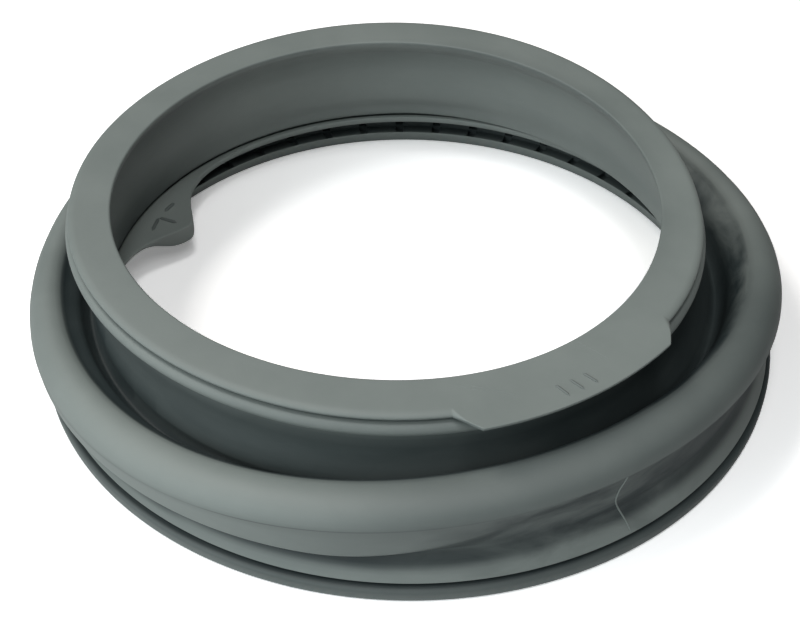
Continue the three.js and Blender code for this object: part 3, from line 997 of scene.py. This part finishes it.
def smudge_table(names, table):
    """How mottled the skin is, from faint to 1."""
    radius, azimuth, _ = polar_places(table)
    past = smooth(turn(SMUDGE_END["from"], azimuth), 0.0, SMUDGE_END["fade"])
    front_right = tuck_share(azimuth) * (1 - SMUDGE_END["share"] * past)
    right = np.maximum(0, cos_deg(azimuth - FLANK_RIGHT["azimuth"]))
    flank = right * smooth(radius, VALLEY_RADIUS, VALLEY_RADIUS + SMUDGE_FLANK)
    smudge = np.full(table.shape[:2], FAINT_SMUDGE)
    for i, name in enumerate(names):
        if name in ("skirt", "channel", "tuck"):
            smudge[i] = np.maximum(FAINT_SMUDGE, front_right[i])
        if name == "valley":
            smudge[i] = np.maximum(FAINT_SMUDGE, flank[i])
    return smudge


def centred_places(table):
    """Places of the skin's vertices in millimetres from the base ring's axis."""
    return (table - np.array(seal_axis)) / MM


def polar_places(table):
    """Radius, azimuth and height of the skin's vertices about the base ring's axis."""
    x, y, z = np.moveaxis(centred_places(table), -1, 0)
    return np.hypot(x, y), np.degrees(np.arctan2(y, x)), z


def mesh_object(name, bm):
    mesh = bpy.data.meshes.new(name)
    bm.to_mesh(mesh)
    bm.free()
    piece = bpy.data.objects.new(name, mesh)
    bpy.context.scene.collection.objects.link(piece)
    return piece


# The base ring's axis: the ring's right side reaches the model's box, and the axis lies a little in front
# of the box's middle
AXIS_FORWARD = 0.1
box_low, box_high = cad_box
seal_axis = Vector((box_high[0] - BASE_RADIUS * MM, -AXIS_FORWARD * MM, 0))


# Finish of the rubber: tones in soft clouds, streaks where it is mottled, and a fine grain
CLOUD = {"Scale": 11, "Detail": 5, "Roughness": 0.6}
CLOUD_RANGE = (0.3, 0.7)
STREAK = {"Scale": 21, "Detail": 5, "Roughness": 0.55, "Distortion": 0.6}
STREAK_RANGE = (0.36, 0.64)
STREAK_BLOOM = (-0.2, 0.3)
STREAK_STRETCH = (1, 1, 3)
SHEEN = (0.52, 0.66)
GRAIN = {"Scale": 700, "Detail": 3}
GRAIN_STRENGTH = 0.12
GRAIN_DEPTH = 0.0003


def noise(tree, vector, settings):
    node = tree.nodes.new("ShaderNodeTexNoise")
    for name, value in settings.items():
        node.inputs[name].default_value = value
    tree.links.new(vector, node.inputs["Vector"])
    return node.outputs["Fac"]


def rescaled(tree, value, given, wanted):
    """A value's given range turned into a wanted one, held at its ends."""
    node = tree.nodes.new("ShaderNodeMapRange")
    node.inputs["From Min"].default_value, node.inputs["From Max"].default_value = given
    node.inputs["To Min"].default_value, node.inputs["To Max"].default_value = wanted
    tree.links.new(value, node.inputs["Value"])
    return node.outputs["Result"]


def skin_value(tree, name):
    """A value that the skin's vertices carry."""
    node = tree.nodes.new("ShaderNodeAttribute")
    node.attribute_name = name
    return node.outputs["Fac"]


def rubber_material():
    """Grey washing machine rubber: dark, mixed towards two pale tones by the paleness that the skin
    carries, which also paints light and shade, and with a fine mould grain.
    """
    material = bpy.data.materials.new("grey_rubber")
    material.use_nodes = True
    tree = material.node_tree
    nodes, links = tree.nodes, tree.links
    shader = nodes["Principled BSDF"]
    shader.inputs["Metallic"].default_value = 0
    shader.inputs["IOR"].default_value = 1.5
    place_on_seal = nodes.new("ShaderNodeTexCoord").outputs["Object"]

    cloud = noise(tree, place_on_seal, CLOUD)
    tone = nodes.new("ShaderNodeValToRGB")
    for element, position, colour in zip(tone.color_ramp.elements, CLOUD_RANGE, PALE_RUBBER):
        element.position = position
        element.color = colour
    links.new(cloud, tone.inputs["Fac"])

    stretched = nodes.new("ShaderNodeMapping")
    stretched.inputs["Scale"].default_value = STREAK_STRETCH
    links.new(place_on_seal, stretched.inputs["Vector"])
    streaks = noise(tree, stretched.outputs["Vector"], STREAK)
    # The mix's factor: streaks where the skin is mottled, added to its paleness with painted light and
    # shade
    mottled = nodes.new("ShaderNodeMath")
    mottled.operation = "MULTIPLY_ADD"
    links.new(rescaled(tree, streaks, STREAK_RANGE, STREAK_BLOOM), mottled.inputs[0])
    links.new(skin_value(tree, "smudge"), mottled.inputs[1])
    links.new(skin_value(tree, "bloom_and_shade"), mottled.inputs[2])

    blend = nodes.new("ShaderNodeMix")
    blend.data_type = "RGBA"
    blend.inputs["A"].default_value = DARK_RUBBER
    links.new(mottled.outputs["Value"], blend.inputs["Factor"])
    links.new(tone.outputs["Color"], blend.inputs["B"])
    links.new(blend.outputs["Result"], shader.inputs["Base Color"])
    links.new(rescaled(tree, cloud, CLOUD_RANGE, SHEEN), shader.inputs["Roughness"])

    bump = nodes.new("ShaderNodeBump")
    bump.inputs["Strength"].default_value = GRAIN_STRENGTH
    bump.inputs["Distance"].default_value = GRAIN_DEPTH
    links.new(noise(tree, place_on_seal, GRAIN), bump.inputs["Height"])
    links.new(bump.outputs["Normal"], shader.inputs["Normal"])
    return material


# Camera: elevation, pan, tilt and roll in radians, distance in metres and lens in millimetres
CAMERA_ELEVATION = 0.7113
CAMERA_DISTANCE = 0.6652
CAMERA_PAN = 0.0066
CAMERA_TILT = -0.0059
CAMERA_ROLL = -0.0102
CAMERA_LENS = 51.22
SENSOR_WIDTH = 36
CAMERA_CLIP = (0.01, 50)

# Pale floor, in metres. The camera sees it brighter than it is, so it stays white outside the seal's shadow
FLOOR_HALF_SIZE = 4
FLOOR_DROP = 0.0002
FLOOR_COLOUR = (0.8, 0.8, 0.8, 1)
FLOOR_SEEN = (1.4, 1.4, 1.4, 1)
FLOOR_GLOW = 0.22
ROOM_LIGHT = 0.03

# Soft lamps: azimuth, elevation, distance and size in metres, power in watts and colour
LAMPS = {
    "key": (184, 64, 1.6, 0.3, 3.5, (1, 1, 1)),
    "overhead": (280, 80, 1.6, 0.35, 5.0, (1, 1, 1)),
    "front_high": (285, 58, 1.7, 0.6, 4.5, (1, 1, 1)),
    "front_left": (235, 20, 1.8, 1.4, 8.5, (0.83, 0.955, 1)),
    "left": (200, 35, 1.8, 1.2, 10.5, (0.96, 0.99, 1)),
    "back_left": (150, 60, 1.7, 0.6, 7.0, (1, 0.95, 0.89)),
}


def make_camera():
    """The camera looks at the base ring's centre, with a small pan, tilt and roll."""
    sin_e, cos_e = math.sin(CAMERA_ELEVATION), math.cos(CAMERA_ELEVATION)
    ahead = Vector((0, cos_e, -sin_e))
    right = Vector((1, 0, 0))
    up = Vector((0, sin_e, cos_e))
    pan = Quaternion(up, CAMERA_PAN)
    ahead, right = pan @ ahead, pan @ right
    tilt = Quaternion(right, CAMERA_TILT)
    ahead, up = tilt @ ahead, tilt @ up
    roll = Quaternion(ahead, CAMERA_ROLL)
    right, up = roll @ right, roll @ up
    data = bpy.data.cameras.new("camera")
    data.lens = CAMERA_LENS
    data.sensor_width = SENSOR_WIDTH
    data.sensor_fit = "HORIZONTAL"
    data.clip_start, data.clip_end = CAMERA_CLIP
    camera = bpy.data.objects.new("camera", data)
    bpy.context.scene.collection.objects.link(camera)
    place_at = seal_axis + CAMERA_DISTANCE * Vector((0, -cos_e, sin_e))
    turned = Matrix((right, up, -ahead)).transposed()
    camera.matrix_world = Matrix.Translation(place_at) @ turned.to_4x4()
    bpy.context.scene.camera = camera


def soft_lamp(name, azimuth, elevation, distance, size, power, colour):
    """A square area lamp that faces the seal."""
    data = bpy.data.lights.new(name, "AREA")
    data.shape = "SQUARE"
    data.size = size
    data.energy = power
    data.color = colour
    lamp = bpy.data.objects.new(name, data)
    bpy.context.scene.collection.objects.link(lamp)
    a, e = math.radians(azimuth), math.radians(elevation)
    back = Vector((math.cos(a) * math.cos(e), math.sin(a) * math.cos(e), math.sin(e)))
    lamp.location = back * distance
    lamp.rotation_mode = "QUATERNION"
    lamp.rotation_quaternion = (-back).to_track_quat("-Z", "Y")


def floor_material():
    """Plain pale floor; its glow is for the camera alone."""
    material = bpy.data.materials.new("pale_floor")
    material.use_nodes = True
    nodes = material.node_tree.nodes
    links = material.node_tree.links
    nodes.clear()
    output = nodes.new("ShaderNodeOutputMaterial")
    ray = nodes.new("ShaderNodeLightPath")
    seen = nodes.new("ShaderNodeMix")
    seen.data_type = "RGBA"
    seen.inputs["A"].default_value = FLOOR_COLOUR
    seen.inputs["B"].default_value = FLOOR_SEEN
    links.new(ray.outputs["Is Camera Ray"], seen.inputs["Factor"])
    diffuse = nodes.new("ShaderNodeBsdfDiffuse")
    links.new(seen.outputs["Result"], diffuse.inputs["Color"])
    glow = nodes.new("ShaderNodeEmission")
    links.new(ray.outputs["Is Camera Ray"], glow.inputs["Color"])
    glow.inputs["Strength"].default_value = FLOOR_GLOW
    both = nodes.new("ShaderNodeAddShader")
    links.new(diffuse.outputs["BSDF"], both.inputs[0])
    links.new(glow.outputs["Emission"], both.inputs[1])
    links.new(both.outputs["Shader"], output.inputs["Surface"])
    return material


def make_floor():
    bm = bmesh.new()
    bmesh.ops.create_grid(bm, x_segments=1, y_segments=1, size=FLOOR_HALF_SIZE)
    bmesh.ops.translate(bm, verts=bm.verts, vec=(0, 0, box_low[2] - FLOOR_DROP))
    floor = mesh_object("floor", bm)
    floor.data.materials.append(floor_material())


def make_world():
    """Soft white room light; the camera sees it as plain white."""
    world = bpy.data.worlds.new("room")
    bpy.context.scene.world = world
    world.use_nodes = True
    nodes = world.node_tree.nodes
    links = world.node_tree.links
    background = nodes["Background"]
    background.inputs["Color"].default_value = (1, 1, 1, 1)
    ray = nodes.new("ShaderNodeLightPath")
    strength = nodes.new("ShaderNodeMapRange")
    strength.inputs["To Min"].default_value = ROOM_LIGHT
    strength.inputs["To Max"].default_value = 1
    links.new(ray.outputs["Is Camera Ray"], strength.inputs["Value"])
    links.new(strength.outputs["Result"], background.inputs["Strength"])


make_camera()
make_world()
for lamp_name, lamp_settings in LAMPS.items():
    soft_lamp(lamp_name, *lamp_settings)
make_floor()

skin = seal_skin()
skin.data.materials.append(rubber_material())
shading = skin.modifiers.new("even_shading", "WEIGHTED_NORMAL")
shading.keep_sharp = True
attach(skin, "root")
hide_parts("door_seal")

bpy.context.scene.view_settings.view_transform = "Standard"
